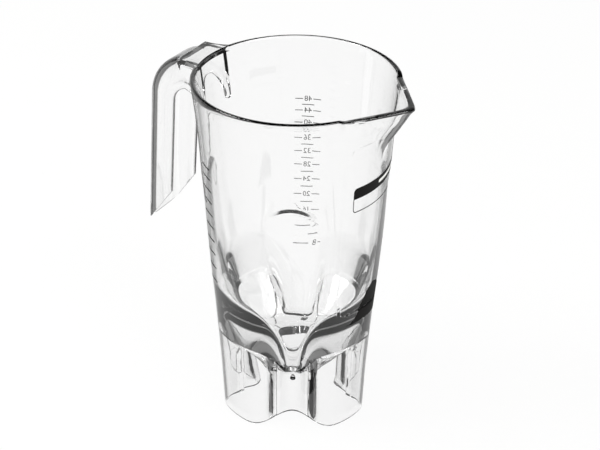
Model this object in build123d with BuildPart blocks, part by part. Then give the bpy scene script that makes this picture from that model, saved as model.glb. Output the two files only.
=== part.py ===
from build123d import *
import os
from math import acos, asin, cos, degrees, radians, sin, sqrt, tan

# Clear moulded blender jar, in one piece: a fluted, tapered vessel on a lobed skirt, with a
# pouring spout on +X, a hooked open-channel handle on -X and a cutter hole in its floor.
# Millimetres. The origin is on the jar's axis, in the plane of its foot, and +Z is up.

# Vessel
height = 254.0
rim_radius = 69.8
rim_flare = 2.9
foot_radius = 58.8
wall = 3.0

# Flutes: four grooves that run up the outside and stand out inside as baffles
flute_count = 4
flute_turn = 27.0
flute_drop = 62.5
flute_run_out = 5.0
flute_foot_half = 31.0
flute_head_half = 16.5
flute_even_height = 90.0
flute_head_depth = 2.5
flute_floor_wall = 4.0
indent_radius = 36.0
# Power of the curve that a flute's floor follows as it leans out above the skirt
flute_lean_power = 2.5
# Steps that a flute, its run-out and the flare of the rim are drawn in
lean_steps = 5
run_out_steps = 4
flare_steps = 4
# Where a groove's flank is steepest, as parts of its half width and of its depth
flank_across_part = 0.45
flank_depth_part = 0.57

# Floor: a flat hub with a raised collar, and a funnel that climbs to the wall
floor_height = 40.0
floor_thickness = 5.0
hub_radius = 33.0
funnel_angle = 67.0
underside_angle = 54.0
cutter_hole_diameter = 25.0
collar_diameter = 39.0
collar_height = 3.0

# Drain holes through the indents, just under the floor
drain_diameter = 4.0
drain_drop = 3.5

# Spout: a V drawn out of the rim and down to a keel
spout_overhang = 17.2
spout_depth = 39.5
spout_nose_round = 4.0
keel_half_width = 12.0
lip_drop = 2.0

# Label panel, let into the wall under the spout
panel_half_width = 34.0
panel_drop = 23.0
panel_length = 133.0
panel_corner = 8.0
panel_depth = 1.0

# Handle: a channel hung from the rim, open towards the jar
handle_width = 34.0
handle_wall = 3.0
handle_plate = 4.0
handle_root_width = 45.0
handle_root_length = 13.2
handle_standoff = 40.2
handle_length = 135.0
channel_depth = 21.5
channel_edge_round = 8.0
shoulder_radius = 34.0
grip_lean = 5.0
grip_cut_rise = 28.0
grip_tip = 3.5
gusset_drop = 37.5

# Room that a cutter reaches past the face it goes through
past = 1.0

flute_top = height - flute_drop
flute_head = flute_top - flute_run_out
flute_pitch = 360 / flute_count
handle_start = rim_radius - 2 * wall
spout_reach = rim_radius + spout_overhang
spout_tangent = acos(rim_radius / spout_reach)
handle_reach = rim_radius + handle_standoff


def wall_radius(z):
    """Outer radius of the wall at height z: a straight taper, flared towards the rim above the
    flutes by the square of the height."""
    flare = max(z - flute_top, 0) / flute_drop
    return foot_radius + (rim_radius - rim_flare - foot_radius) * z / height + rim_flare * flare**2


def groove_half_width(z):
    """Half the width of a flute between its two edges: even low down, then a straight taper up to
    its head."""
    climb = min(max(z - flute_even_height, 0) / (flute_head - flute_even_height), 1)
    return flute_foot_half + (flute_head_half - flute_foot_half) * climb


def groove_floor_radius(z, inset, floor_inset):
    """Distance of a flute's floor from the axis: upright in the skirt, leaning out above it in a
    curve that steepens as it climbs, and eased into the wall where the flute runs out."""
    left = min(max((flute_head - z) / (flute_head - floor_height), 0), 1)
    climb = 1 - left**flute_lean_power
    head_radius = wall_radius(flute_head) - flute_head_depth
    leaning = indent_radius + (head_radius - indent_radius) * climb - floor_inset
    run = min(max((z - flute_head) / flute_run_out, 0), 1)
    ease = run * run * (3 - 2 * run)
    return leaning + (wall_radius(z) - inset - leaning) * ease


def fluted_outline(z, inset, floor_inset):
    """Closed outline at height z: four arcs of the wall joined by four soft-edged grooves."""
    radius = wall_radius(z) - inset
    half_angle = degrees(asin(groove_half_width(z) / wall_radius(z)))
    floor_radius = groove_floor_radius(z, inset, floor_inset)
    edge_across = radius * sin(radians(half_angle))
    edge_out = radius * cos(radians(half_angle))
    flank_across = flank_across_part * edge_across
    flank_out = sqrt(radius**2 - flank_across**2) - flank_depth_part * (radius - floor_radius)
    for index in range(flute_count):
        turn = flute_turn + index * flute_pitch

        def place(out, across):
            return Vector(out, across).rotate(Axis.Z, turn)

        Spline(
            place(edge_out, -edge_across),
            place(flank_out, -flank_across),
            place(floor_radius, 0),
            place(flank_out, flank_across),
            place(edge_out, edge_across),
            tangents=[
                Vector(0, 1).rotate(Axis.Z, turn - half_angle),
                Vector(0, 1).rotate(Axis.Z, turn + half_angle),
            ],
        )
        CenterArc((0, 0), radius, turn + half_angle, flute_pitch - 2 * half_angle)


def fluted_sections(levels, inset, floor_inset):
    """The fluted outline as a face at each of the levels."""
    sections = []
    for z in levels:
        with BuildSketch(Plane.XY.offset(z)) as section:
            with BuildLine():
                fluted_outline(z, inset, floor_inset)
            make_face()
        sections.append(section.sketch)
    return sections


def fluted_body(bottom, top, inset, floor_inset):
    """Tapered body: upright skirt, flutes that lean out to their heads, a soft run-out, and the
    flared wall above."""
    lean = [floor_height + (flute_head - floor_height) * step / lean_steps for step in range(lean_steps + 1)]
    run_out = [flute_head + flute_run_out * step / run_out_steps for step in range(run_out_steps + 1)]
    flare = [flute_top + (top - flute_top) * step / flare_steps for step in range(flare_steps + 1)]
    loft(fluted_sections([bottom, floor_height], inset, floor_inset), ruled=True)
    loft(fluted_sections(lean, inset, floor_inset))
    loft(fluted_sections(run_out, inset, floor_inset))
    loft(fluted_sections(flare, inset, floor_inset))


def plain_taper(inset):
    """The wall's taper without its flutes, as a solid of revolution. A curve with one control point,
    where the taper's line would pass halfway up the flare, is the flare's own square curve."""
    start = wall_radius(flute_top) - inset
    halfway = start + (wall_radius(flute_top) - foot_radius) * flute_drop / 2 / flute_top
    end = wall_radius(height) - inset
    with BuildSketch(Plane.XZ) as profile:
        with BuildLine():
            Polyline((0, height), (0, 0), (foot_radius - inset, 0), (start, flute_top))
            Bezier((start, flute_top), (halfway, height - flute_drop / 2), (end, height))
            Polyline((end, height), (0, height))
        make_face()
    revolve(profile.sketch, axis=Axis.Z)


def spout_wedge(inset):
    """V of the spout: two flat lips tangent to the rim, drawn down to a keel on the wall."""
    tip_inset = inset / cos(spout_tangent)
    rim_here = rim_radius - inset
    keel_level = height - spout_depth
    keel_tip = wall_radius(keel_level) - tip_inset
    sections = []
    for z, tip, corner_out, corner_across in (
        (height, spout_reach - tip_inset, rim_here * cos(spout_tangent), rim_here * sin(spout_tangent)),
        (keel_level, keel_tip, keel_tip - keel_half_width, keel_half_width),
    ):
        with BuildSketch(Plane.XY.offset(z)) as section:
            with BuildLine():
                Polyline((tip, 0), (corner_out, corner_across), (corner_out, -corner_across), close=True)
            make_face()
            fillet(section.vertices().sort_by(Axis.X)[-1], spout_nose_round - inset)
        sections.append(section.sketch)
    loft(sections, ruled=True)


def rounded_panel_cut():
    """Shallow recess: a rounded rectangle under the spout, let a little way into the wall."""
    centre = height - panel_drop - panel_length / 2
    with BuildSketch(Plane.YZ) as outline:
        with Locations((0, centre)):
            RectangleRounded(2 * panel_half_width, panel_length, panel_corner)
    extrude(outline.sketch, amount=rim_radius + past)


def grip_line(z, inset):
    """Outer face of the grip at height z, set in by inset: it leans out as it goes down."""
    return -(handle_reach - inset) - (height - shoulder_radius - z) * tan(radians(grip_lean))


def channel_section(outer_round, inner_round):
    """U section of the handle, hung below the top line, with its open side inwards."""
    with BuildSketch(mode=Mode.PRIVATE) as outside:
        with Locations((0, -channel_depth / 2)):
            Rectangle(handle_width, channel_depth)
        if outer_round:
            fillet(outside.vertices().group_by(Axis.Y)[-1], outer_round)
    with BuildSketch(mode=Mode.PRIVATE) as inside:
        with Locations((0, -handle_plate - channel_depth / 2)):
            Rectangle(handle_width - 2 * handle_wall, channel_depth)
        if inner_round:
            fillet(inside.vertices().group_by(Axis.Y)[-1], inner_round)
    add(outside.sketch)
    add(inside.sketch, mode=Mode.SUBTRACT)


# The space inside the jar and under its floor, as one hollow with the floor standing in it
with BuildPart() as hollow:
    fluted_body(-past, height + past, wall, flute_floor_wall)
    spout_wedge(wall)
    with BuildSketch(Plane.XZ) as floor_profile:
        reach = rim_radius
        with BuildLine():
            Polyline(
                (0, floor_height - floor_thickness),
                (hub_radius, floor_height - floor_thickness),
                (reach, floor_height - floor_thickness + (reach - hub_radius) * tan(radians(underside_angle))),
                (reach, floor_height + (reach - hub_radius) * tan(radians(funnel_angle))),
                (hub_radius, floor_height),
                (collar_diameter / 2, floor_height),
                (collar_diameter / 2, floor_height + collar_height),
                (0, floor_height + collar_height),
                close=True,
            )
        make_face()
    revolve(axis=Axis.Z, mode=Mode.SUBTRACT)

# Core that the label panel is sunk to
with BuildPart() as panel_core:
    plain_taper(panel_depth)

with BuildPart() as panel:
    rounded_panel_cut()
    add(panel_core.part, mode=Mode.SUBTRACT)

# Handle: a U section carried out from the rim, over the shoulder and down the grip
root_plane = Plane((-handle_start, 0, height), x_dir=(0, -1, 0), z_dir=(-1, 0, 0))
root_end = rim_radius + handle_root_length
tip_z = height - handle_length
cut_z = tip_z + grip_cut_rise
gusset_z = height - gusset_drop
flange_z = height - channel_depth
half_width = handle_width / 2
half_root = handle_root_width / 2

with BuildPart() as handle:
    with BuildLine():
        FilletPolyline(
            (-handle_start, 0, height),
            (grip_line(height, 0), 0, height),
            (grip_line(tip_z, 0), 0, tip_z),
            radius=shoulder_radius,
        )
    with BuildSketch(root_plane):
        channel_section(channel_edge_round, channel_edge_round - handle_wall)
    sweep()
    # Square-edged root, from the rim to the start of the shoulder
    with BuildSketch(root_plane):
        channel_section(0, 0)
    extrude(amount=root_end - handle_start)
    # Slanting cut that leaves the grip's lower end open
    with BuildSketch(Plane.XZ):
        with BuildLine():
            Polyline(
                (grip_line(tip_z, grip_tip), tip_z),
                (grip_line(cut_z, channel_depth), cut_z),
                (-handle_start, cut_z),
                (-handle_start, tip_z - channel_depth),
                (grip_line(tip_z, grip_tip), tip_z - channel_depth),
                close=True,
            )
        make_face()
    extrude(amount=handle_width, both=True, mode=Mode.SUBTRACT)
    # Top plate, flared to a wide root on the rim
    with BuildSketch(Plane.XY.offset(height - handle_plate)):
        with BuildLine():
            TangentArc((-root_end, half_width), (-rim_radius, half_root), tangent=(1, 0))
            Polyline((-rim_radius, half_root), (-handle_start, half_root))
            Polyline((-handle_start, half_root), (-handle_start, -half_root))
            Polyline((-handle_start, -half_root), (-rim_radius, -half_root))
            TangentArc((-root_end, -half_width), (-rim_radius, -half_root), tangent=(1, 0))
            Polyline((-root_end, -half_width), (-root_end, half_width))
        make_face()
    extrude(amount=handle_plate)
    # Gussets: the two flanges run down the wall in a round corner
    gusset_reach = flange_z - gusset_z
    gusset_foot = -wall_radius(gusset_z)
    gusset_head = gusset_foot - gusset_reach
    gusset_back = gusset_foot + wall
    for side in (-1, 1):
        with BuildSketch(Plane.XZ.offset(side * (half_width - handle_wall / 2))):
            with BuildLine():
                RadiusArc((gusset_head, flange_z), (gusset_foot, gusset_z), gusset_reach)
                Polyline((gusset_foot, gusset_z), (gusset_back, gusset_z), (gusset_back, flange_z + past))
                Polyline((gusset_back, flange_z + past), (gusset_head, flange_z + past), (gusset_head, flange_z))
            make_face()
        extrude(amount=handle_wall / 2, both=True)

with BuildPart() as jar:
    fluted_body(0, height, 0, 0)
    add(panel.part, mode=Mode.SUBTRACT)
    spout_wedge(0)
    add(handle.part)
    add(hollow.part, mode=Mode.SUBTRACT)
    # Cutter hole through the hub and its collar
    with BuildSketch(Plane.XY.offset(floor_height - floor_thickness)):
        Circle(cutter_hole_diameter / 2)
    extrude(amount=floor_thickness + collar_height, mode=Mode.SUBTRACT)
    # Drain holes through the four indents
    drain_z = floor_height - floor_thickness - drain_drop
    for index in range(flute_count):
        turn = flute_turn + index * flute_pitch
        drain_plane = Plane((0, 0, drain_z), z_dir=Vector(1, 0, 0).rotate(Axis.Z, turn))
        with BuildSketch(drain_plane):
            Circle(drain_diameter / 2)
        extrude(amount=indent_radius + drain_diameter, mode=Mode.SUBTRACT)
    # The pouring lip stands a little lower than the rim
    with BuildSketch(Plane.XY.offset(height - lip_drop)):
        with BuildLine():
            lip_end = spout_reach + past
            lip_half = lip_end * tan(spout_tangent)
            Polyline((0, 0), (lip_end, lip_half), (lip_end, -lip_half), close=True)
        make_face()
    extrude(amount=lip_drop + past, mode=Mode.SUBTRACT)

jar.part.label = "jar"
os.makedirs("parts", exist_ok=True)
export_step(jar.part, "parts/jar.step")
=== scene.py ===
# %% [markdown]
# # A clear blender jar
#
# This lesson rebuilds the looks of a clear, moulded blender jar around its CAD model. The jar is one
# piece of polycarbonate, so almost everything the eye sees is light bent by its shape. A clear object is
# drawn by its edges: the background shows straight through the flat of the wall and goes dark wherever
# the surface turns. So the surface has to be smooth and closed, and the light has to come from behind.
#
# The CAD model is loaded first. Nothing made here may grow past it.

# %% Load the frame
import math

import bpy
import numpy as np
from mathutils import Matrix, Vector


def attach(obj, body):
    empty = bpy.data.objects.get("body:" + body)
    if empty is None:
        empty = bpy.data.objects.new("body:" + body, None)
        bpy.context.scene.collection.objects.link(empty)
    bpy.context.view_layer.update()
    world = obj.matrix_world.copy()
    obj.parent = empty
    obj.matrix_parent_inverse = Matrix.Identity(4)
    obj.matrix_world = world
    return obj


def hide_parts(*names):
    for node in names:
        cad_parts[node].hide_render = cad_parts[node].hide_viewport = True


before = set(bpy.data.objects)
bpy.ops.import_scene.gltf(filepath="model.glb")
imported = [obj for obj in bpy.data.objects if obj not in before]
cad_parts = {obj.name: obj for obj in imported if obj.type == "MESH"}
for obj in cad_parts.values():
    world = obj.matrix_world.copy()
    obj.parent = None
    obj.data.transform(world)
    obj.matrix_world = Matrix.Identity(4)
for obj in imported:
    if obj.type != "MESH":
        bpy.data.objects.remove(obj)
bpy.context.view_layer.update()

scene = bpy.context.scene
MM = 0.001

# %% [markdown]
# ## The plain wall
#
# All sizes are in millimetres, in the CAD frame: the origin is on the axis at the foot, +Z is up, the
# spout is on +X and the handle on -X. They are the CAD model's sizes, or the nearest that these formulas
# have to its curves, with three additions that only the looks have: ribs in the skirt, a bead on the
# pouring lip and a bead on the handle's flanges.
#
# The real wall is a taper, so that the jar slips off its mould, with a flare at the rim. A lathe profile
# could make it, but the flutes and the spout need a radius that changes with the direction too. So the
# wall is a formula, and each later shape changes the radius that it gives.

# %% Plain wall
HEIGHT, WALL = 254.0, 3.0
FOOT_RADIUS, RIM_RADIUS, RIM_FLARE = 58.8, 69.74, 2.9
FLUTE_TOP = 191.5


def wall_radius(z):
    """Outer radius of the plain wall: a straight taper up from the foot, plus a flare that grows with
    the square of the height above the flutes."""
    above = np.clip((z - FLUTE_TOP) / (HEIGHT - FLUTE_TOP), 0, None)
    return FOOT_RADIUS + (RIM_RADIUS - RIM_FLARE - FOOT_RADIUS) * z / HEIGHT + RIM_FLARE * above**2


print("wall radius in mm at the foot and the rim:", wall_radius(0), round(wall_radius(HEIGHT), 2))

# %% [markdown]
# ## The flutes
#
# Four grooves stiffen the wall and turn back what is being blended. Each starts as a deep indent in the
# skirt, leans out as it climbs and runs out under an arch high on the wall. Booleans could cut them, but
# those leave hard edges. A bell-shaped depth taken off the wall keeps the surface smooth everywhere.

# %% Flutes
FLUTE_COUNT, FLUTE_TURN = 4, 27.0
FLUTE_RUN_OUT, FLUTE_ARCH = 5.0, 7.0
FLUTE_HEAD = FLUTE_TOP - FLUTE_RUN_OUT
FLUTE_FOOT_HALF, FLUTE_HEAD_HALF, FLUTE_EVEN, FLUTE_LEAN_POWER = 36.0, 16.5, 90.0, 2.5
FLUTE_HEAD_DEPTH, FLUTE_FLOOR_WALL, INDENT_RADIUS = 2.5, 4.0, 36.0
FOOT_SOFTNESS, HEAD_SOFTNESS = 3.5, 0.8
FLOOR = 40.0
HALVINGS, NEAREST_PART = 40, 0.3


def ease(t):
    """Smooth step: 3t^2 - 2t^3 between 0 and 1."""
    t = np.clip(t, 0, 1)
    return t * t * (3 - 2 * t)


def from_flute(angle):
    """A direction measured from the middle of the nearest flute: the remainder after whole pitches."""
    pitch = 2 * math.pi / FLUTE_COUNT
    return (angle - math.radians(FLUTE_TURN) + pitch / 2) % pitch - pitch / 2


def fluted_radius(angle, z, inset, floor_inset):
    """Radius of the fluted wall in a direction, at a height.

    In a flute's own axes, out along its middle and across it, the wall is the circle
    out = sqrt(R^2 - across^2) less the groove depth * (1 - u^2)^softness, where u = across / edge.
    The groove eases out into the wall at its head, a little lower at its sides than in its middle.
    The radius that lies on that curve in the given direction is found by halving an interval.
    """
    radius = wall_radius(z) - inset
    climb = np.clip((z - FLUTE_EVEN) / (FLUTE_HEAD - FLUTE_EVEN), 0, 1)
    edge = radius * (FLUTE_FOOT_HALF + (FLUTE_HEAD_HALF - FLUTE_FOOT_HALF) * climb) / wall_radius(z)
    softness = FOOT_SOFTNESS + (HEAD_SOFTNESS - FOOT_SOFTNESS) * climb
    lean = 1 - np.clip((FLUTE_HEAD - z) / (FLUTE_HEAD - FLOOR), 0, 1) ** FLUTE_LEAN_POWER
    head_radius = wall_radius(FLUTE_HEAD) - FLUTE_HEAD_DEPTH
    depth = radius - (INDENT_RADIUS + (head_radius - INDENT_RADIUS) * lean - floor_inset)
    turned = from_flute(angle)
    low, high = NEAREST_PART * radius + 0 * turned, radius + 0 * turned
    for _ in range(HALVINGS):
        middle = (low + high) / 2
        across = middle * np.sin(turned)
        u2 = np.clip((across / edge) ** 2, 0, 1)
        run_out = 1 - ease((z - FLUTE_HEAD + FLUTE_ARCH * u2) / FLUTE_RUN_OUT)
        groove = depth * run_out * (1 - u2) ** softness
        within = middle * np.cos(turned) < np.sqrt(radius**2 - across**2) - groove
        low, high = np.where(within, middle, low), np.where(within, high, middle)
    return high


flute_middle = math.radians(FLUTE_TURN)
print("radius in mm at a flute's middle, foot and mid height:",
      [round(float(fluted_radius(flute_middle, z, 0, 0)), 1) for z in (0.0, HEIGHT / 2)])

# %% [markdown]
# ## The spout
#
# The spout is a V pulled out of the rim, with a round nose and a keel that dies away down the wall. It
# could be sculpted out of the round rim, but a formula keeps its lip true: at each height the outline is
# a hyperbola, which is two straight sides with a round nose between them. The lip is a little lower than
# the rim.

# %% Spout
SPOUT_REACH, SPOUT_DEPTH, LIP_DROP, KEEL_HALF = 87.0, 39.5, 2.0, 12.0
NOSE_OUTER, NOSE_INNER = 2.85, 4.0
SPOUT_TANGENT = math.acos(RIM_RADIUS / SPOUT_REACH)
SPOUT_OVERLAP, SPOUT_BLEND = 0.03, 0.1


def spout_radius(angle, z, inset, nose):
    """Radius of the spout's V: the hyperbola x + m sqrt(y^2 + nose^2) = tip, whose tip and slope m
    change along straight lines from the keel's foot up to the rim."""
    tip_inset = inset / math.cos(SPOUT_TANGENT)
    rise = (z - (HEIGHT - SPOUT_DEPTH)) / SPOUT_DEPTH
    rim_radius = RIM_RADIUS - inset
    keel_tip = wall_radius(HEIGHT - SPOUT_DEPTH) - tip_inset
    keel_out = keel_tip - KEEL_HALF
    tip = keel_tip + (SPOUT_REACH - tip_inset - keel_tip) * rise
    corner_out = keel_out + (rim_radius * math.cos(SPOUT_TANGENT) - keel_out) * rise
    corner_across = KEEL_HALF + (rim_radius * math.sin(SPOUT_TANGENT) - KEEL_HALF) * rise
    slope = (tip - corner_out) / corner_across
    c, s = np.cos(angle), np.abs(np.sin(angle))
    end = tip**2 - (slope * nose) ** 2
    root = np.sqrt(np.clip((tip * c) ** 2 - (c**2 - (slope * s) ** 2) * end, 0, None))
    reach = end / np.maximum(tip * c + root, 1e-6)
    within = (rise > 0) & (c > 0) & (s * corner_out <= c * corner_across)
    return np.where(within, reach, 0)


def in_spout(angle):
    """1 within the spout's corners and 0 outside them, with a soft step."""
    away = np.abs((angle + math.pi) % (2 * math.pi) - math.pi)
    return ease((SPOUT_TANGENT + SPOUT_OVERLAP - away) / SPOUT_BLEND)


print("spout nose in mm from the axis:", round(float(spout_radius(0.0, HEIGHT, 0, NOSE_OUTER)), 2))

# %% [markdown]
# ## The skirt's ribs
#
# Below the floor the wall goes on as a skirt, which stands over the motor base. Inside, a rib stands on
# both flanks of each indent. A rib could be a bar joined on, but a bell-shaped bump on the inner radius
# flows into the wall as a moulded one does.

# %% Ribs
RIB_ACROSS, RIB_WIDTH, RIB_HEIGHT = 15.5, 2.3, 5.0


def skirt_radius(angle, z):
    """The inside of the skirt: the fluted wall, thickened by a rib on both flanks of each indent. A rib
    is the bell height * exp(-((across - middle) / width)^2)."""
    radius = fluted_radius(angle, z, WALL, FLUTE_FLOOR_WALL)
    across = np.abs(radius * np.sin(from_flute(angle)))
    return radius - RIB_HEIGHT * np.exp(-((across - RIB_ACROSS) / RIB_WIDTH) ** 2)


print("ribs:", 2 * FLUTE_COUNT, "height in mm:", RIB_HEIGHT)

# %% [markdown]
# ## The label panel
#
# Under the spout a rounded rectangle of the wall is let in by a millimetre, which keeps its print from
# being scuffed. A Boolean cut would leave a hard step. Here the distance to the rectangle's edge drives a
# soft step half a millimetre wide.

# %% Label panel
PANEL_HALF, PANEL_LOW, PANEL_HIGH, PANEL_CORNER, PANEL_DEPTH = 34.0, 98.0, 231.0, 8.0, 1.0
PANEL_BLEND = 0.5


def panel_sunk(across, z):
    """How far the label panel is let in, from 0 outside it to 1 inside: a rounded rectangle, measured by
    the distance to its edge, with a soft step across the edge."""
    middle, half_length = (PANEL_LOW + PANEL_HIGH) / 2, (PANEL_HIGH - PANEL_LOW) / 2
    past_side = np.abs(across) - (PANEL_HALF - PANEL_CORNER)
    past_end = np.abs(z - middle) - (half_length - PANEL_CORNER)
    beyond = np.hypot(np.clip(past_side, 0, None), np.clip(past_end, 0, None))
    edge = beyond + np.minimum(np.maximum(past_side, past_end), 0) - PANEL_CORNER
    return ease(0.5 - edge / PANEL_BLEND)


print("panel in mm:", 2 * PANEL_HALF, "x", PANEL_HIGH - PANEL_LOW, "let in by", PANEL_DEPTH)

# %% [markdown]
# ## Outside and inside
#
# The shapes are now put together, once for the outside of the wall and once for the inside. Taking the
# larger of two radii joins the spout to the wall. A plain maximum would leave a crease, so the corner is
# rounded. The pouring lip has a bead on its inner side, which makes it look thick from above.

# %% Outer and inner radius
SPOUT_ROUND = 0.3
LIP_BEAD, LIP_BEAD_DEPTH, LIP_BEAD_BLEND = 1.4, 7.0, 5.0


def soft_max(a, b, width):
    """The larger of a and b, with the corner between them rounded over about the width:
    (a + b + sqrt((a - b)^2 + width^2)) / 2."""
    return 0.5 * (a + b + np.sqrt((a - b) ** 2 + width**2))


def outer_radius(angle, z):
    """The outside: the fluted wall, sunk a little in the label panel, joined with the spout."""
    radius = fluted_radius(angle, z, 0, 0)
    sunk = np.where(np.cos(angle) > 0, panel_sunk(radius * np.sin(angle), z), 0)
    radius = radius - sunk * np.clip(radius - (wall_radius(z) - PANEL_DEPTH), 0, None)
    return soft_max(radius, spout_radius(angle, z, 0, NOSE_OUTER), SPOUT_ROUND)


def inner_radius(angle, z):
    """The inside: the fluted wall set in, joined with the spout's trough, less the bead on the lip."""
    plain = fluted_radius(angle, z, WALL, FLUTE_FLOOR_WALL)
    bead = LIP_BEAD * in_spout(angle) * ease((z - (HEIGHT - LIP_BEAD_DEPTH)) / LIP_BEAD_BLEND)
    return soft_max(plain, spout_radius(angle, z, WALL, NOSE_INNER), SPOUT_ROUND) - bead


print("rim in mm, outside and inside, opposite the spout:",
      [round(float(side(math.pi, HEIGHT)), 2) for side in (outer_radius, inner_radius)])

# %% [markdown]
# ## The vessel as one closed surface
#
# Every part of the vessel can be seen from its axis, so its surface is a radius for each direction and
# each step along a profile. The profile starts at the foot, climbs the outside, goes over the rim, down
# the inside, across the floor, through the cutter hole and back under the floor to the foot. Where the
# end meets the start, the grid closes on itself in both directions, like a ring doughnut. That gives a
# closed skin with no seams or poles, which clear material needs: light has to enter and leave it.
#
# The profile is put together from rows. A wall gives one row for each height. A corner gives a few rows
# on a small curve between a point before it and a point after it, because no moulded edge is sharp, and
# a rounded edge is what draws the dark rim line. The directions are closer together along the sides of
# the label panel, where the wall steps in within a millimetre.

# %% Directions and rows
COLUMNS = 500
PANEL_SIDE, CROWDED_HALF, CROWDING = math.radians(32), math.radians(2.2), 5
around = np.linspace(0, 2 * math.pi, 3601)
from_spout = np.abs((around + math.pi) % (2 * math.pi) - math.pi)
crowd = 1 + CROWDING * (np.abs(from_spout - PANEL_SIDE) < CROWDED_HALF)
share = np.concatenate([[0], np.cumsum((crowd[1:] + crowd[:-1]) / 2)])
angles = np.interp(np.linspace(0, share[-1], COLUMNS, endpoint=False), share, around)


def row(radius, z):
    """One row: radius and height for every direction."""
    return np.stack([radius + 0 * angles, z + 0 * angles])


def corner(before, at, after, steps):
    """Rows on the curve (1-t)^2 before + 2t(1-t) at + t^2 after, which rounds a corner."""
    parts = np.linspace(0, 1, steps + 1)
    return [(1 - t) ** 2 * before + 2 * t * (1 - t) * at + t * t * after for t in parts]


def towards(start, end, length):
    """The point a length from start on the way to end, in every direction."""
    span = end - start
    return start + span * (length / np.maximum(np.hypot(*span), 1e-9))


def heights(*stretches):
    """Heights along a wall: (from, to, count) stretches, each without its last."""
    return np.concatenate([np.linspace(a, b, n, endpoint=False) for a, b, n in stretches])


print("directions:", COLUMNS, "closest in degrees:", round(math.degrees(np.diff(angles).min()), 2))

# %% [markdown]
# The outside needs its rows close together only where it changes fast: at the ends of the label panel
# and at the heads of the flutes. Near the rim the rows sink with the pouring lip.

# %% Outside and rim
RIM_ROUND, EDGE_ROUND = 1.45, 0.7
PANEL_NEAR, HEAD_START = 2, FLUTE_HEAD - 6
lip = LIP_DROP * in_spout(angles)


def lip_height(z):
    """Heights near the rim follow the lowered lip: z less the drop times an ease up the spout."""
    return z - lip * ease((z - (HEIGHT - SPOUT_DEPTH)) / SPOUT_DEPTH)


outside_heights = heights((EDGE_ROUND, FLOOR, 6), (FLOOR, PANEL_LOW - PANEL_NEAR, 12),
                          (PANEL_LOW - PANEL_NEAR, PANEL_LOW + PANEL_NEAR, 6),
                          (PANEL_LOW + PANEL_NEAR, HEAD_START, 15), (HEAD_START, FLUTE_TOP, 11),
                          (FLUTE_TOP, PANEL_HIGH - PANEL_NEAR, 8),
                          (PANEL_HIGH - PANEL_NEAR, PANEL_HIGH + PANEL_NEAR, 6),
                          (PANEL_HIGH + PANEL_NEAR, HEIGHT - RIM_ROUND, 6))
outside = [row(outer_radius(angles, z), lip_height(z)) for z in outside_heights]
rim_out = row(outer_radius(angles, HEIGHT), HEIGHT - lip)
rim_in = row(inner_radius(angles, HEIGHT), HEIGHT - lip)
rim = corner(rim_out - [[0], [RIM_ROUND]], rim_out, towards(rim_out, rim_in, RIM_ROUND), 3)
rim += corner(towards(rim_in, rim_out, RIM_ROUND), rim_in, rim_in - [[0], [RIM_ROUND]], 3)
print("outside rows:", len(outside), "rim rows:", len(rim))

# %% [markdown]
# Inside, the wall runs down into a steep funnel, which feeds the cutter. The funnel ends on a flat hub,
# where a low collar stands round the cutter hole. The wall and the funnel are joined by the smaller of
# their radii, again with a rounded corner.

# %% Inside and floor
FLOOR_THICKNESS, HUB_RADIUS, FUNNEL_SLOPE, FUNNEL_ROUND = 5.0, 33.0, math.tan(math.radians(67)), 1.5
HOLE_RADIUS, COLLAR_RADIUS, COLLAR_HEIGHT = 12.5, 19.5, 3.0
FLOOR_ROUND, COLLAR_ROUND = 3.0, 0.8
FUNNEL_TOP = 110


def cavity_radius(z):
    """Inside of the vessel at a height: the wall, or the funnel of the floor where that is narrower."""
    funnel = HUB_RADIUS + (z - FLOOR) / FUNNEL_SLOPE
    return -soft_max(-inner_radius(angles, z), -funnel, FUNNEL_ROUND)


inside_heights = heights((HEIGHT - 2 * RIM_ROUND, FLUTE_TOP, 10), (FLUTE_TOP, HEAD_START, 11),
                         (HEAD_START, FUNNEL_TOP, 8), (FUNNEL_TOP, FLOOR + FLOOR_ROUND, 22))
inside = [row(cavity_radius(z), lip_height(z)) for z in inside_heights]
floor_edge = row(cavity_radius(FLOOR), FLOOR)
funnel_start = row(cavity_radius(FLOOR + FLOOR_ROUND), FLOOR + FLOOR_ROUND)
collar_foot, collar_top = row(COLLAR_RADIUS, FLOOR), row(COLLAR_RADIUS, FLOOR + COLLAR_HEIGHT)
hole_top, hole_low = row(HOLE_RADIUS, FLOOR + COLLAR_HEIGHT), row(HOLE_RADIUS, FLOOR - FLOOR_THICKNESS)
hub_low = row(HUB_RADIUS, FLOOR - FLOOR_THICKNESS)
floor = corner(funnel_start, floor_edge, towards(floor_edge, collar_foot, FLOOR_ROUND), 4)
for before, at, after in ((floor_edge, collar_foot, collar_top), (collar_foot, collar_top, hole_top),
                          (collar_top, hole_top, hole_low), (hole_top, hole_low, hub_low)):
    floor += corner(towards(at, before, COLLAR_ROUND), at, towards(at, after, COLLAR_ROUND), 2)
print("inside rows:", len(inside), "floor rows:", len(floor))

# %% [markdown]
# Underneath, the floor climbs from the hub out to the skirt, less steeply than the funnel, so the corner
# between them is thick. Where it meets the skirt depends on the direction, because of the flutes, and is
# found by halving an interval, as for the flutes themselves.

# %% Underside, skirt and foot
UNDERSIDE_SLOPE, UNDERSIDE_ROUND = math.tan(math.radians(54)), 1.0


def underside_height(radius):
    """Underside of the floor: flat under the hub, then climbing outwards along its slope."""
    out = soft_max(radius, HUB_RADIUS, UNDERSIDE_ROUND) - HUB_RADIUS
    return FLOOR - FLOOR_THICKNESS + UNDERSIDE_SLOPE * out


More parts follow.
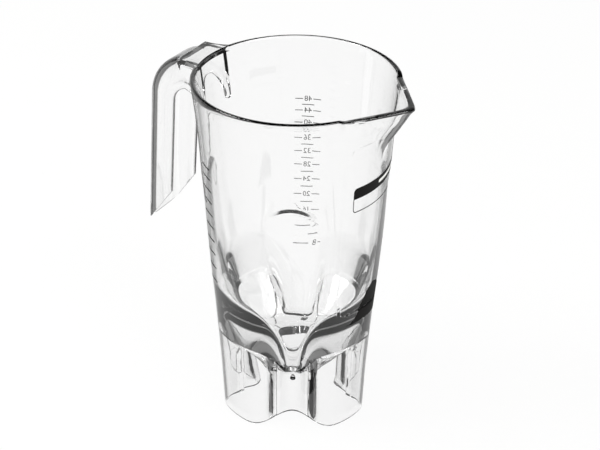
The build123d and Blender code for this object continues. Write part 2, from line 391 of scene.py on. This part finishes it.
low, high = np.full(COLUMNS, 20.0), np.full(COLUMNS, 66.0)
for _ in range(HALVINGS):
    meeting = (low + high) / 2
    clear = meeting < fluted_radius(angles, underside_height(meeting), WALL, FLUTE_FLOOR_WALL)
    low, high = np.where(clear, meeting, low), np.where(clear, high, meeting)
skirt_top = underside_height(meeting)
reaches = [HOLE_RADIUS + t * (meeting - HOLE_RADIUS) for t in np.linspace(0.1, 0.97, 14)]
under = [row(reach, underside_height(reach)) for reach in reaches]
skirt_levels = [skirt_top + (EDGE_ROUND - skirt_top) * t for t in np.linspace(0.04, 1, 9, endpoint=False)]
skirt = [row(skirt_radius(angles, z), z) for z in skirt_levels]
foot_in = row(skirt_radius(angles, 0), 0)
foot_out = row(fluted_radius(angles, 0, 0, 0), 0)
foot = corner(foot_in + [[0], [EDGE_ROUND]], foot_in, towards(foot_in, foot_out, EDGE_ROUND), 2)
foot += corner(towards(foot_out, foot_in, EDGE_ROUND), foot_out, foot_out + [[0], [EDGE_ROUND]], 2)[:-1]
profile = np.array(outside + rim + inside + floor + under + skirt + foot)
print("profile rows:", len(profile), "skirt top in mm:", round(skirt_top.min(), 1), round(skirt_top.max(), 1))

# %% [markdown]
# The grid of points becomes a mesh with one array of quads. bmesh could add faces one by one, but whole
# arrays are quicker and shorter. The sign of the enclosed volume says whether the quads face out. The
# same helpers serve the handle and the drain holes later, which are tubes with two closed ends.

# %% Grid to mesh
def mesh_object(name, points, faces):
    """A mesh object in metres from points in millimetres and lists of corners."""
    mesh = bpy.data.meshes.new(name)
    mesh.from_pydata((np.asarray(points) * MM).tolist(), [], faces)
    mesh.update()
    piece = bpy.data.objects.new(name, mesh)
    scene.collection.objects.link(piece)
    return piece


def outward(points, faces):
    """The quads turned to face out of the closed skin: the sum of a x b . c over the corners is
    six times the volume, and is negative where they face in."""
    a, b, c, d = (points[faces[:, k]] for k in range(4))
    volume = np.sum(np.cross(a, b) * c) + np.sum(np.cross(a, c) * d)
    return (faces if volume > 0 else faces[:, ::-1]).tolist()


def grid_quads(rows, columns, wrap):
    """Corners of the quads of a grid of points whose rows close on themselves, and whose last row
    joins the first if it wraps."""
    i, j = np.meshgrid(np.arange(rows if wrap else rows - 1), np.arange(columns), indexing="ij")
    here, above = i * columns, (i + 1) % rows * columns
    ahead = (j + 1) % columns
    return np.stack([here + j, here + ahead, above + ahead, above + j], -1).reshape(-1, 4)


def ring_skin(name, stations):
    """Closed skin over a grid that closes on itself both ways."""
    points = stations.reshape(-1, 3)
    return mesh_object(name, points, outward(points, grid_quads(*stations.shape[:2], True)))


def tube_skin(name, stations):
    """Closed skin over a run of loops. Each end is closed by a strip of quads between the first half
    of its loop and the second half, which runs back beside it."""
    count, around_loop = stations.shape[:2]
    points = stations.reshape(-1, 3)
    k = np.arange(around_loop // 2 - 1)
    strip = np.stack([k, k + 1, around_loop - 2 - k, around_loop - 1 - k], -1)
    sides = grid_quads(count, around_loop, False)
    faces = np.concatenate([sides, strip[:, ::-1], strip + (count - 1) * around_loop])
    return mesh_object(name, points, outward(points, faces))


radius, z = profile[:, 0], profile[:, 1]
jar = ring_skin("clear_jar", np.stack([radius * np.cos(angles), radius * np.sin(angles), z], -1))
print("vessel quads:", len(jar.data.polygons))

# %% [markdown]
# ## The handle
#
# The handle is a channel, open towards the jar. Its U section is carried out from the rim, round the
# shoulder and down the grip. A curve with a bevel shape could carry a section along a path, but near the
# wall the flanges run down in a round corner, so the depth of the section changes as it goes. Each point
# of the section starts on the middle of the wall and ends on the slanting cut, so the two ends need no
# trimming.

# %% Handle section
HANDLE_HALF, HANDLE_WALL, HANDLE_PLATE = 17.0, 3.0, 4.0
CHANNEL_DEPTH, CHANNEL_ROUND, ROOT_ROUND, LEAST_ROUND = 21.5, 8.0, 1.2, 0.6
FLANGE_BEAD, BEAD_DEPTH, BEAD_BLEND = 1.5, 8.0, 5.0
FLANGE_END = (HANDLE_WALL + FLANGE_BEAD) / 2


def half_section(width, plate, depth, bend):
    """Half of one side of the U, from the middle of its plate round the bend and down the flange, as
    across and depth."""
    turn = np.linspace(0, math.pi / 2, 7)
    flange = depth - FLANGE_END - plate - bend
    across = np.concatenate([[0.0, (width - bend) / 2], width - bend + bend * np.sin(turn),
                             np.full(6, width)])
    down = np.concatenate([[plate, plate], plate + bend - bend * np.cos(turn),
                           plate + bend + flange * np.linspace(1 / 6, 1, 6)])
    return across, down


def both_sides(half, sign):
    """A half section and its mirror image as one run: the half backwards times the sign, then the half."""
    return np.concatenate([sign * half[:0:-1], half])


def channel_loop(depth, bend):
    """The closed U section: its outer side from one flange to the other, then back along its inner side.
    The flanges end in a round bead."""
    outer_across, outer_down = half_section(HANDLE_HALF, 0.0, depth, bend)
    inner_across, inner_down = half_section(HANDLE_HALF - HANDLE_WALL, HANDLE_PLATE, depth,
                                            max(bend - HANDLE_WALL, LEAST_ROUND))
    inner_across = inner_across - FLANGE_BEAD * ease((inner_down - (depth - BEAD_DEPTH)) / BEAD_BLEND)
    end = np.radians([25, 50, 75])
    round_across, round_down = FLANGE_END * np.cos(end), depth - FLANGE_END * (1 - np.sin(end))
    middle = HANDLE_HALF - FLANGE_END
    outer_across, outer_down = (np.append(outer_across, middle + round_across),
                                np.append(outer_down, round_down))
    inner_across, inner_down = (np.append(inner_across, middle - round_across),
                                np.append(inner_down, round_down))
    across = np.concatenate([both_sides(outer_across, -1), both_sides(inner_across, -1)[::-1]])
    down = np.concatenate([both_sides(outer_down, 1), both_sides(inner_down, 1)[::-1]])
    return across, down


print("points round the section:", len(channel_loop(CHANNEL_DEPTH, CHANNEL_ROUND)[0]))

# %% [markdown]
# The path has three stretches: straight out from the wall, a quarter turn at the shoulder that stops
# short by the lean of the grip, and the straight grip. In the first two the section is deepened to the
# round corner of the gussets, and its bend opens up as the shoulder starts.

# %% Handle
SHOULDER_RADIUS, GRIP_LEAN, HANDLE_REACH = 34.0, math.radians(5), 110.0
GRIP_LOW, GRIP_CUT_RISE, GRIP_TIP = 119.0, 28.0, 3.5
GUSSET_LOW, GUSSET_TURN = 216.5, 0.25
BEND_START, BEND_TURN = 0.2, 0.04
ROOT_CROWDING = 1.6
TOP = HEIGHT - 0.1
shoulder_turn = math.pi / 2 - GRIP_LEAN
shoulder_inset = SHOULDER_RADIUS * math.tan(GRIP_LEAN) + SHOULDER_RADIUS * math.tan(shoulder_turn / 2)
shoulder_x, shoulder_z = shoulder_inset - HANDLE_REACH, TOP - SHOULDER_RADIUS


def wall_middle(across, z):
    """Where the middle of the wall is on the handle's side, at a distance across and a height:
    -sqrt(r^2 - across^2)."""
    return -np.sqrt((wall_radius(z) - WALL / 2) ** 2 - across**2)


def flange_depth(x):
    """Depth of the flanges below the top: the channel's own, or the gusset's round corner by the wall."""
    foot_x, reach = -wall_radius(GUSSET_LOW), TOP - CHANNEL_DEPTH - GUSSET_LOW
    out = np.clip((foot_x - x) / reach, 0, 1)
    return TOP - GUSSET_LOW - reach * math.sqrt(1 - (1 - out) ** 2)


stations = []
for part in np.linspace(0, 1, 16, endpoint=False) ** ROOT_CROWDING:
    flange_x = wall_middle(HANDLE_HALF, GUSSET_LOW) * (1 - part) + shoulder_x * part
    across, down = channel_loop(flange_depth(flange_x), ROOT_ROUND)
    x = wall_middle(across, TOP - down) * (1 - part) + shoulder_x * part
    stations.append(np.stack([x, across, TOP - down], -1))
shoulder_turns = np.concatenate([np.linspace(0, 0.18, 4), [0.21, 0.23],
                                 np.linspace(0.27, shoulder_turn, 22, endpoint=False)])
for turn in shoulder_turns:
    depth = CHANNEL_DEPTH + (flange_depth(shoulder_x) - CHANNEL_DEPTH) * (1 - ease(turn / GUSSET_TURN))
    bend = ROOT_ROUND + (CHANNEL_ROUND - ROOT_ROUND) * ease((turn - BEND_START) / BEND_TURN)
    across, down = channel_loop(depth, bend)
    arm = SHOULDER_RADIUS - down
    stations.append(np.stack([shoulder_x - arm * np.sin(turn), across, shoulder_z + arm * np.cos(turn)], -1))
across, down = channel_loop(CHANNEL_DEPTH, CHANNEL_ROUND)
grip_x = shoulder_x - (SHOULDER_RADIUS - down) * math.sin(shoulder_turn)
grip_z = shoulder_z + (SHOULDER_RADIUS - down) * math.cos(shoulder_turn)
cut_z = GRIP_LOW + GRIP_CUT_RISE * np.clip((down - GRIP_TIP) / (CHANNEL_DEPTH - GRIP_TIP), 0, 1)
for part in np.linspace(0, 1, 10):
    drop = (grip_z - cut_z) * part
    stations.append(np.stack([grip_x - drop * math.tan(GRIP_LEAN), across, grip_z - drop], -1))
handle = tube_skin("handle", np.array(stations))
print("handle quads:", len(handle.data.polygons))

# %% [markdown]
# The top plate spreads to a wide root on the rim. It is a flat bar whose sides curve in from the rim to
# the width of the channel. It starts in the middle of the wall, so that the two become one when joined.

# %% Root plate
ROOT_END, ROOT_HALF, ROOT_SPREAD, ROOT_PROUD = 83.0, 22.5, 1.1, 0.05
PLATE_POINTS = 15
v = np.concatenate([np.linspace(-1, 1, PLATE_POINTS), np.linspace(1, -1, PLATE_POINTS)])
level = np.repeat([TOP - ROOT_PROUD, TOP - HANDLE_PLATE - 0.2], PLATE_POINTS)
stations = []
for part in np.linspace(0, 1, 14):
    curve = 1 - math.sqrt(1 - (1 - min(part * ROOT_SPREAD, 1)) ** 2)
    half = HANDLE_HALF + ROOT_PROUD + (ROOT_HALF - HANDLE_HALF) * curve
    x = wall_middle(v * half, level) * (1 - part) - ROOT_END * part
    stations.append(np.stack([x, v * half, level], -1))
root_plate = tube_skin("root_plate", np.array(stations))
print("root plate quads:", len(root_plate.data.polygons))

# %% [markdown]
# A small hole in the middle of each indent drains what spills into the skirt. Each is a short round rod
# here, which will be taken away from the wall.

# %% Drain holes
DRAIN_RADIUS, DRAIN_HEIGHT, DRAIN_POINTS = 2.0, 31.5, 24
DRAIN_REACH = (INDENT_RADIUS - 10, INDENT_RADIUS + 6)
round_hole = np.linspace(0, 2 * math.pi, DRAIN_POINTS, endpoint=False)
side, up = DRAIN_RADIUS * np.cos(round_hole), DRAIN_HEIGHT + DRAIN_RADIUS * np.sin(round_hole)
drains = []
for index in range(FLUTE_COUNT):
    turn = math.radians(FLUTE_TURN + 360 / FLUTE_COUNT * index)
    c, s = math.cos(turn), math.sin(turn)
    loops = [np.stack([out * c - side * s, out * s + side * c, up], -1) for out in DRAIN_REACH]
    drains.append(tube_skin(f"drain_{index}", np.array(loops)))
print("drain holes:", len(drains), "width in mm:", 2 * DRAIN_RADIUS)

# %% [markdown]
# The pieces become one skin with Boolean modifiers, as they are one moulding: two clear skins that only
# overlapped would bend the light twice. Then the shading is made smooth, with the few hard edges kept.

# %% Join
SHARP_EDGE = math.radians(35)
tools = [(handle, "UNION"), (root_plate, "UNION")] + [(drain, "DIFFERENCE") for drain in drains]
for tool, operation in tools:
    step = jar.modifiers.new(tool.name, "BOOLEAN")
    step.object, step.operation, step.solver = tool, operation, "MANIFOLD"
bpy.context.view_layer.update()
joined = bpy.data.meshes.new_from_object(jar.evaluated_get(bpy.context.evaluated_depsgraph_get()))
jar.modifiers.clear()
joined.materials.clear()
joined.polygons.foreach_set("material_index", np.zeros(len(joined.polygons), np.int32))
joined.polygons.foreach_set("use_smooth", np.ones(len(joined.polygons), bool))
joined.set_sharp_from_angle(angle=SHARP_EDGE)
jar.data = joined
for tool, _ in tools:
    bpy.data.objects.remove(tool)
triangles = sum(len(face.vertices) - 2 for face in joined.polygons)
print("jar faces:", len(joined.polygons), "triangles:", triangles)

# %% [markdown]
# ## Ink
#
# The scale, the label and the graphic are printed on the outside of the wall. A texture could draw them,
# but real ink has a thickness and sharp edges, and a mesh keeps those at any distance. Each drawing is
# made flat first, across and up, and is then laid on the wall by the wall's own radius function, so it
# follows the flutes and the sunk panel. The printed sheet gets its thickness from a Solidify modifier.

# %% Drawings
FRAME_POINTS = 320


def ink_rows(levels, halves, middle=0.0, columns=9):
    """A drawing filled by rows: at each level it reaches half a width to both sides of its middle."""
    levels, halves = np.asarray(levels, float), np.asarray(halves, float)
    across = middle + halves[:, None] * np.linspace(-1, 1, columns)
    i, j = np.meshgrid(np.arange(len(levels) - 1), np.arange(columns - 1), indexing="ij")
    start = i * columns + j
    quads = np.stack([start, start + 1, start + columns + 1, start + columns], -1).reshape(-1, 4)
    return across.ravel(), np.repeat(levels, columns), quads.tolist()


def ink_bar(low, high, half, middle=0.0, columns=9):
    """A plain rectangle of ink: two rows of the same width."""
    return ink_rows([low, high], [half, half], middle, columns)


def ink_frame(low, high, half, bend, line):
    """Outline of a rounded rectangle, a line wide: an outer loop, and an inner one set in by the line.
    Each point is bend * (cos, sin) of its turn, added to a centre that moves from corner to corner."""
    knots, along = np.arange(9), np.linspace(0, 8, FRAME_POINTS, endpoint=False)
    turn = np.radians(np.interp(along, knots, [0, 90, 90, 180, 180, 270, 270, 360, 360]))
    side = np.interp(along, knots, [1, 1, -1, -1, -1, -1, 1, 1, 1]) * (half - bend)
    rise = np.interp(along, knots, [1, 1, 1, 1, -1, -1, -1, -1, 1]) * ((high - low) / 2 - bend)
    bends = (bend, bend - line)
    across = np.concatenate([side + r * np.cos(turn) for r in bends])
    z = np.concatenate([(low + high) / 2 + rise + r * np.sin(turn) for r in bends])
    k = np.arange(FRAME_POINTS)
    ahead = (k + 1) % FRAME_POINTS
    return across, z, np.stack([k, ahead, ahead + FRAME_POINTS, k + FRAME_POINTS], -1).tolist()


def ink_number(value, z, size):
    """A plain number: the built-in font's outline, filled, and made a mesh before it is laid on the wall."""
    curve = bpy.data.curves.new("number", "FONT")
    curve.body, curve.size, curve.resolution_u = str(value), size, 3
    curve.align_x, curve.align_y = "CENTER", "CENTER"
    text = bpy.data.objects.new("number", curve)
    scene.collection.objects.link(text)
    bpy.context.view_layer.update()
    mesh = bpy.data.meshes.new_from_object(text.evaluated_get(bpy.context.evaluated_depsgraph_get()))
    flat = np.zeros(3 * len(mesh.vertices))
    mesh.vertices.foreach_get("co", flat)
    flat = flat.reshape(-1, 3)
    faces = [list(polygon.vertices) for polygon in mesh.polygons]
    bpy.data.objects.remove(text)
    return flat[:, 0], z + flat[:, 1], faces


print("points in a frame:", 2 * FRAME_POINTS)

# %% [markdown]
# Laying a drawing on the wall turns its distance across into an angle. The sheet floats a few hundredths
# of a millimetre off the plastic, because two surfaces in one place would fight over which is seen.

# %% Printing on the wall
INK_LIFT, SECOND_LIFT, INK_THICKNESS = 0.03, 0.08, 0.04


def on_wall(across, z, centre, lift):
    """A flat drawing laid on the wall: across is measured square to the direction of the centre, so the
    angle is centre + atan(across / radius at the centre)."""
    angle = centre + np.arctan2(across, outer_radius(np.full_like(z, centre), z))
    radius = outer_radius(angle, z) + lift
    return np.stack([radius * np.cos(angle), radius * np.sin(angle), z], -1)


def printed(name, drawings, lift=INK_LIFT):
    """One object from drawings, each laid on the wall round its own direction, given in degrees."""
    points, faces, count = [], [], 0
    for centre, (across, z, corners) in drawings:
        points.append(on_wall(across, z, math.radians(centre), lift))
        faces += [[index + count for index in face] for face in corners]
        count += len(z)
    sheet = mesh_object(name, np.concatenate(points), faces)
    thick = sheet.modifiers.new("ink_thickness", "SOLIDIFY")
    thick.thickness, thick.offset = INK_THICKNESS * MM, 1
    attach(sheet, "root")
    print(name, "faces:", len(faces))
    return sheet


# %% [markdown]
# The main scale is on the back of the jar and reads from outside, so through the jar it shows mirrored.
# Long marks stand on both sides of each number, and a short mark is halfway to the next one. The marks
# are further apart lower down, where the jar is narrower: each gap is a little wider than the one above
# it. A second scale, of marks only, is on the side by the handle.

# %% Scales
SCALE_CENTRE, SIDE_CENTRE = 112.6, 234.0
NUMBERS = np.arange(48, 4, -4)
TOP_LEVEL, TOP_SPACING, SPACING_GROWTH = 206.6, 9.0, 0.56
NUMBER_SIZE, MARK, LONG_HALF, LONG_OUT, SHORT_HALF, SIDE_HALF = 5.8, 0.28, 2.9, 6.7, 4.6, 6.2
SIDE_LEVELS = (201.5, 193.7, 184.6, 175.5, 165.5, 156.0, 145.2, 134.8, 123.5, 112.0)
steps = np.arange(len(NUMBERS))
number_levels = TOP_LEVEL - TOP_SPACING * steps - SPACING_GROWTH * steps * (steps - 1) / 2
marks = []
for value, level in zip(NUMBERS, number_levels):
    marks += [ink_bar(level - MARK, level + MARK, LONG_HALF, side * LONG_OUT) for side in (-1, 1)]
    marks.append(ink_number(value, level, NUMBER_SIZE))
for halfway in (number_levels[:-1] + number_levels[1:]) / 2:
    marks.append(ink_bar(halfway - MARK, halfway + MARK, SHORT_HALF))
scale = printed("printed_scale", [(SCALE_CENTRE, mark) for mark in marks])
side_marks = [(SIDE_CENTRE, ink_bar(level - 2 * MARK, level + 2 * MARK, SIDE_HALF)) for level in SIDE_LEVELS]
side_scale = printed("printed_side_marks", side_marks)

# %% [markdown]
# On the sunk panel are a label, of a black bar over an outlined clear field, and low down a plain black
# hill. Both are plain shapes. The bar's upper corners are round. The hill's half width is
# W / pi * acos(2t - 1) at the part t of its height, which is a cosine wave on its side. A white rule is
# printed over the bar, as a second pass, so it lies a little higher.

# %% Label and graphic
LABEL_LOW, LABEL_HIGH, LABEL_SPLIT, LABEL_HALF, LABEL_BEND, LABEL_LINE = 181.0, 199.5, 191.3, 29.5, 3.0, 0.7
HILL_LOW, HILL_HIGH, HILL_HALF = 89.0, 113.5, 29.0
RULE_LOW, RULE_HIGH, RULE_HALF, RULE_MIDDLE = 194.4, 196.6, 13.0, 10.0
bend_start = LABEL_HIGH - LABEL_BEND
bend_levels = bend_start + LABEL_BEND * np.sin(np.linspace(0.2, 1.5, 7))
bar_levels = np.concatenate([[LABEL_SPLIT, bend_start], bend_levels])
bar_rise = np.clip(bar_levels - bend_start, 0, None)
bar_halves = LABEL_HALF - LABEL_BEND + np.sqrt(LABEL_BEND**2 - bar_rise**2)
hill = np.linspace(0, 0.995, 24)
hill_levels = HILL_LOW + (HILL_HIGH - HILL_LOW) * hill
hill_halves = HILL_HALF / math.pi * np.arccos(2 * hill - 1)
black = [ink_rows(bar_levels, bar_halves, columns=33),
         ink_frame(LABEL_LOW, LABEL_HIGH, LABEL_HALF, LABEL_BEND, LABEL_LINE),
         ink_rows(hill_levels, hill_halves, columns=25)]
label = printed("printed_label", [(0.0, drawing) for drawing in black])
white = ink_bar(RULE_LOW, RULE_HIGH, RULE_HALF, RULE_MIDDLE, 17)
rule = printed("printed_rule", [(0.0, white)], SECOND_LIFT)

# %% [markdown]
# ## Materials
#
# Colours are written as they look on a screen, in hex, and turned to linear light in one place. Pattern
# sizes are in millimetres and are read from Object coordinates, so they do not change with the view.

# %% Colour and nodes
def hex_colour(text):
    """Hex to linear light: with c from 0 to 1, ((c + 0.055) / 1.055)^2.4, or c / 12.92 when very dark."""
    channels = [int(text[k:k + 2], 16) / 255 for k in (1, 3, 5)]
    return [((c + 0.055) / 1.055) ** 2.4 if c > 0.04045 else c / 12.92 for c in channels] + [1.0]


def node(tree, kind, inputs=None, **settings):
    """A shader node with its settings, its inputs set to values or joined to other nodes' sockets."""
    made = tree.nodes.new(kind)
    for name, value in settings.items():
        setattr(made, name, value)
    for key, value in (inputs or {}).items():
        if isinstance(value, bpy.types.NodeSocket):
            tree.links.new(value, made.inputs[key])
        else:
            made.inputs[key].default_value = value
    return made


def new_material(name):
    """An empty node material: the material, its tree and its output."""
    material = bpy.data.materials.new(name)
    material.use_nodes = True
    material.node_tree.nodes.clear()
    return material, material.node_tree, node(material.node_tree, "ShaderNodeOutputMaterial")


print("mid grey on a screen is, in linear light:", round(hex_colour("#808080")[0], 3))

# %% [markdown]
# The plastic is clear injection-moulded polycarbonate, index 1.585. A moulded wall is never quite flat: it
# wanders by some hundredths of a millimetre over a few centimetres, and that makes the lines seen through
# it waver. Fine handling wear, in patches of a millimetre or two, changes its gloss a little.

# %% Plastic
WAVER_SIZE, WAVER_HEIGHT, WEAR_SIZE, WEAR_ROUGHNESS = 22.0, 0.06, 1.5, 0.02
plastic, tree, out = new_material("clear moulded polycarbonate")
place = node(tree, "ShaderNodeTexCoord").outputs["Object"]
waver = node(tree, "ShaderNodeTexNoise", {"Vector": place, "Scale": 1 / (WAVER_SIZE * MM)}).outputs["Fac"]
wear = node(tree, "ShaderNodeTexNoise", {"Vector": place, "Scale": 1 / (WEAR_SIZE * MM)}).outputs["Fac"]
wavy = node(tree, "ShaderNodeBump", {"Height": waver, "Distance": WAVER_HEIGHT * MM}).outputs["Normal"]
gloss = node(tree, "ShaderNodeMapRange", {"Value": wear, "To Min": 0.0, "To Max": WEAR_ROUGHNESS})
tint = node(tree, "ShaderNodeMix", {"Factor": waver, "A": hex_colour("#FFFFFF"), "B": hex_colour("#FEFEFE")},
            data_type="RGBA")
surface = node(tree, "ShaderNodeBsdfPrincipled", {
    "Base Color": tint.outputs["Result"], "Transmission Weight": 1.0, "IOR": 1.585,
    "Roughness": gloss.outputs["Result"], "Normal": wavy})
tree.links.new(surface.outputs["BSDF"], out.inputs["Surface"])
jar.data.materials.append(plastic)
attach(jar, "root")
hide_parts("jar")
print("material:", plastic.name)

# %% [markdown]
# Pad-printed ink is matt and a little uneven, with a grain of a few tenths of a millimetre. Its low
# specular level keeps the black from turning grey under the white room.

# %% Inks
GRAIN_SIZE, INK_ROUGHNESS = 0.4, (0.45, 0.65)
for name, first, second, pieces in (
        ("black printing ink", "#0F0F0F", "#1D1C1B", (scale, side_scale, label)),
        ("white printing ink", "#F4F4F1", "#E6E6E2", (rule,))):
    ink, tree, out = new_material(name)
    place = node(tree, "ShaderNodeTexCoord").outputs["Object"]
    grain = node(tree, "ShaderNodeTexNoise", {"Vector": place, "Scale": 1 / (GRAIN_SIZE * MM)}).outputs["Fac"]
    matt = node(tree, "ShaderNodeMapRange",
                {"Value": grain, "To Min": INK_ROUGHNESS[0], "To Max": INK_ROUGHNESS[1]})
    tint = node(tree, "ShaderNodeMix", {"Factor": grain, "A": hex_colour(first), "B": hex_colour(second)},
                data_type="RGBA")
    surface = node(tree, "ShaderNodeBsdfPrincipled", {
        "Base Color": tint.outputs["Result"], "Roughness": matt.outputs["Result"], "IOR": 1.5,
        "Specular IOR Level": 0.05})
    tree.links.new(surface.outputs["BSDF"], out.inputs["Surface"])
    for piece in pieces:
        piece.data.materials.append(ink)
    print("material:", name, "on", [piece.name for piece in pieces])

# %% [markdown]
# ## Floor, room and lamps
#
# A clear object is photographed against a bright field in a dark room. The bright field shows through the
# flat of the wall. Light that the plastic has mirrored inside comes from beside the field, where the room
# is dark, and that is what draws the dark edges. Here the floor is a plain pale one that shows white to
# the camera and through the plastic, and falls off for light that has been mirrored inside the plastic.
# This is the same from every side. A small part of the floor stays lit by the lamps, which keeps a soft
# shadow under the jar.

# %% Floor
MIRROR_LOSS, SHOWN_PART = 0.85, 0.93
FLOOR_HALF, FLOOR_GAP, FLOOR_PATCH = 3000, 0.2, 120.0


def bright_field(tree):
    """Two values for a background: 1 where it is seen by the camera, in a reflection or through the
    plastic, and its strength, which is 1 - loss for light mirrored inside the plastic. With g the number
    of mirrorings and inside 1 after one or two faces of plastic, that is where g * inside + g > 1.5."""
    path = node(tree, "ShaderNodeLightPath").outputs
    bent = node(tree, "ShaderNodeMath", {0: path["Is Glossy Ray"], 1: path["Is Transmission Ray"]},
                operation="MAXIMUM").outputs[0]
    seen = node(tree, "ShaderNodeMath", {0: path["Is Camera Ray"], 1: bent}, operation="MAXIMUM").outputs[0]
    inside = node(tree, "ShaderNodeMath", {0: path["Transmission Depth"], 1: 1.5, 2: 0.9},
                  operation="COMPARE").outputs[0]
    score = node(tree, "ShaderNodeMath", {0: path["Glossy Depth"], 1: inside, 2: path["Glossy Depth"]},
                 operation="MULTIPLY_ADD").outputs[0]
    mirrored = node(tree, "ShaderNodeMath", {0: score, 1: 1.5}, operation="GREATER_THAN").outputs[0]
    strength = node(tree, "ShaderNodeMath", {0: mirrored, 1: -MIRROR_LOSS, 2: 1.0}, operation="MULTIPLY_ADD")
    return seen, strength.outputs[0]


corners = np.array([(-1, -1, 0), (1, -1, 0), (1, 1, 0), (-1, 1, 0)]) * FLOOR_HALF - [0, 0, FLOOR_GAP]
ground = mesh_object("floor", corners, [(0, 1, 2, 3)])
pale, tree, out = new_material("pale studio floor")
seen, strength = bright_field(tree)
place = node(tree, "ShaderNodeTexCoord").outputs["Object"]
patch = node(tree, "ShaderNodeTexNoise", {"Vector": place, "Scale": 1 / (FLOOR_PATCH * MM)}).outputs["Fac"]
tint = node(tree, "ShaderNodeMix", {"Factor": patch, "A": hex_colour("#F3F3F1"), "B": hex_colour("#EDEDEA")},
            data_type="RGBA")
lit = node(tree, "ShaderNodeBsdfPrincipled", {"Base Color": tint.outputs["Result"], "Roughness": 0.9})
shown = node(tree, "ShaderNodeEmission", {"Strength": strength})
most = node(tree, "ShaderNodeMath", {0: seen, 1: SHOWN_PART}, operation="MULTIPLY").outputs[0]
mixed = node(tree, "ShaderNodeMixShader", {0: most, 1: lit.outputs["BSDF"], 2: shown.outputs["Emission"]})
tree.links.new(mixed.outputs["Shader"], out.inputs["Surface"])
ground.data.materials.append(pale)
print("floor in m:", 2 * FLOOR_HALF * MM, "material:", pale.name)

# %% [markdown]
# The room is white to the camera, white round the horizon for the plastic and dark overhead, like a pale
# backdrop under an unlit ceiling. For everything else it is an even grey that fills the shadows.

# %% Room
CEILING_START, CEILING_FULL, CEILING_LIGHT, ROOM_LIGHT = 0.3, 0.6, 0.04, 0.6
room = bpy.data.worlds.new("studio room")
scene.world = room
room.use_nodes = True
tree = room.node_tree
tree.nodes.clear()
seen, strength = bright_field(tree)
direction = node(tree, "ShaderNodeTexCoord").outputs["Generated"]
climb = node(tree, "ShaderNodeSeparateXYZ", {"Vector": direction}).outputs["Z"]
ceiling = node(tree, "ShaderNodeMapRange", {
    "Value": climb, "From Min": CEILING_START, "From Max": CEILING_FULL,
    "To Min": 1.0, "To Max": CEILING_LIGHT}).outputs["Result"]
through = node(tree, "ShaderNodeMath", {0: ceiling, 1: strength}, operation="MULTIPLY").outputs[0]
camera_ray = node(tree, "ShaderNodeLightPath").outputs["Is Camera Ray"]
visible = node(tree, "ShaderNodeMath", {0: through, 1: camera_ray}, operation="MAXIMUM").outputs[0]
level = node(tree, "ShaderNodeMix", {"Factor": seen, "A": ROOM_LIGHT, "B": visible}).outputs["Result"]
back = node(tree, "ShaderNodeBackground", {"Color": hex_colour("#FFFFFF"), "Strength": level})
tree.links.new(back.outputs["Background"], node(tree, "ShaderNodeOutputWorld").inputs["Surface"])
print("room:", room.name, "nodes:", len(tree.nodes))

# %% [markdown]
# Two broad lamps stand to the left and the right, above the jar. They light the ink and the floor at a
# plain level and put soft highlights on the plastic. A sun lamp would do the same with hard ones.

# %% Lamps
AIM = Vector((0, 0, 0.12))
for name, place, size, watts in (("key lamp", (-0.9, -0.5, 1.3), 0.7, 16.0),
                                 ("fill lamp", (1.1, -0.3, 1.2), 0.9, 10.0)):
    lamp = bpy.data.lights.new(name, "AREA")
    lamp.energy, lamp.size = watts, size
    stand = bpy.data.objects.new(name, lamp)
    scene.collection.objects.link(stand)
    stand.location = place
    stand.rotation_euler = (AIM - Vector(place)).to_track_quat("-Z", "Y").to_euler()
    print(name, "watts:", watts)
scene.view_settings.view_transform = "Standard"

# %% [markdown]
# ## Camera
#
# The camera looks down at the jar from the front, between the handle and the spout. Its heading, pitch
# and roll were fitted to the rim, the wall and the foot. Its axes are worked out from those three angles,
# because Blender's own Euler angles would mix them.

# %% Camera
HEADING, PITCH, ROLL = math.radians(119.78), math.radians(-32.10), math.radians(0.39)
CAMERA_PLACE, FOCAL_LENGTH, SENSOR_WIDTH = (0.35672, -0.61786, 0.58726), 72, 36
forward = Vector((math.cos(HEADING) * math.cos(PITCH), math.sin(HEADING) * math.cos(PITCH), math.sin(PITCH)))
level_right = Vector((math.sin(HEADING), -math.cos(HEADING), 0))
level_up = level_right.cross(forward)
right = level_right * math.cos(ROLL) + level_up * math.sin(ROLL)
up = level_up * math.cos(ROLL) - level_right * math.sin(ROLL)
lens = bpy.data.cameras.new("camera")
lens.lens, lens.sensor_width = FOCAL_LENGTH, SENSOR_WIDTH
camera = bpy.data.objects.new("camera", lens)
scene.collection.objects.link(camera)
axes = Matrix((right, up, -forward)).transposed().to_4x4()
camera.matrix_world = Matrix.Translation(CAMERA_PLACE) @ axes
scene.camera = camera
print("camera looks along:", [round(v, 3) for v in forward])
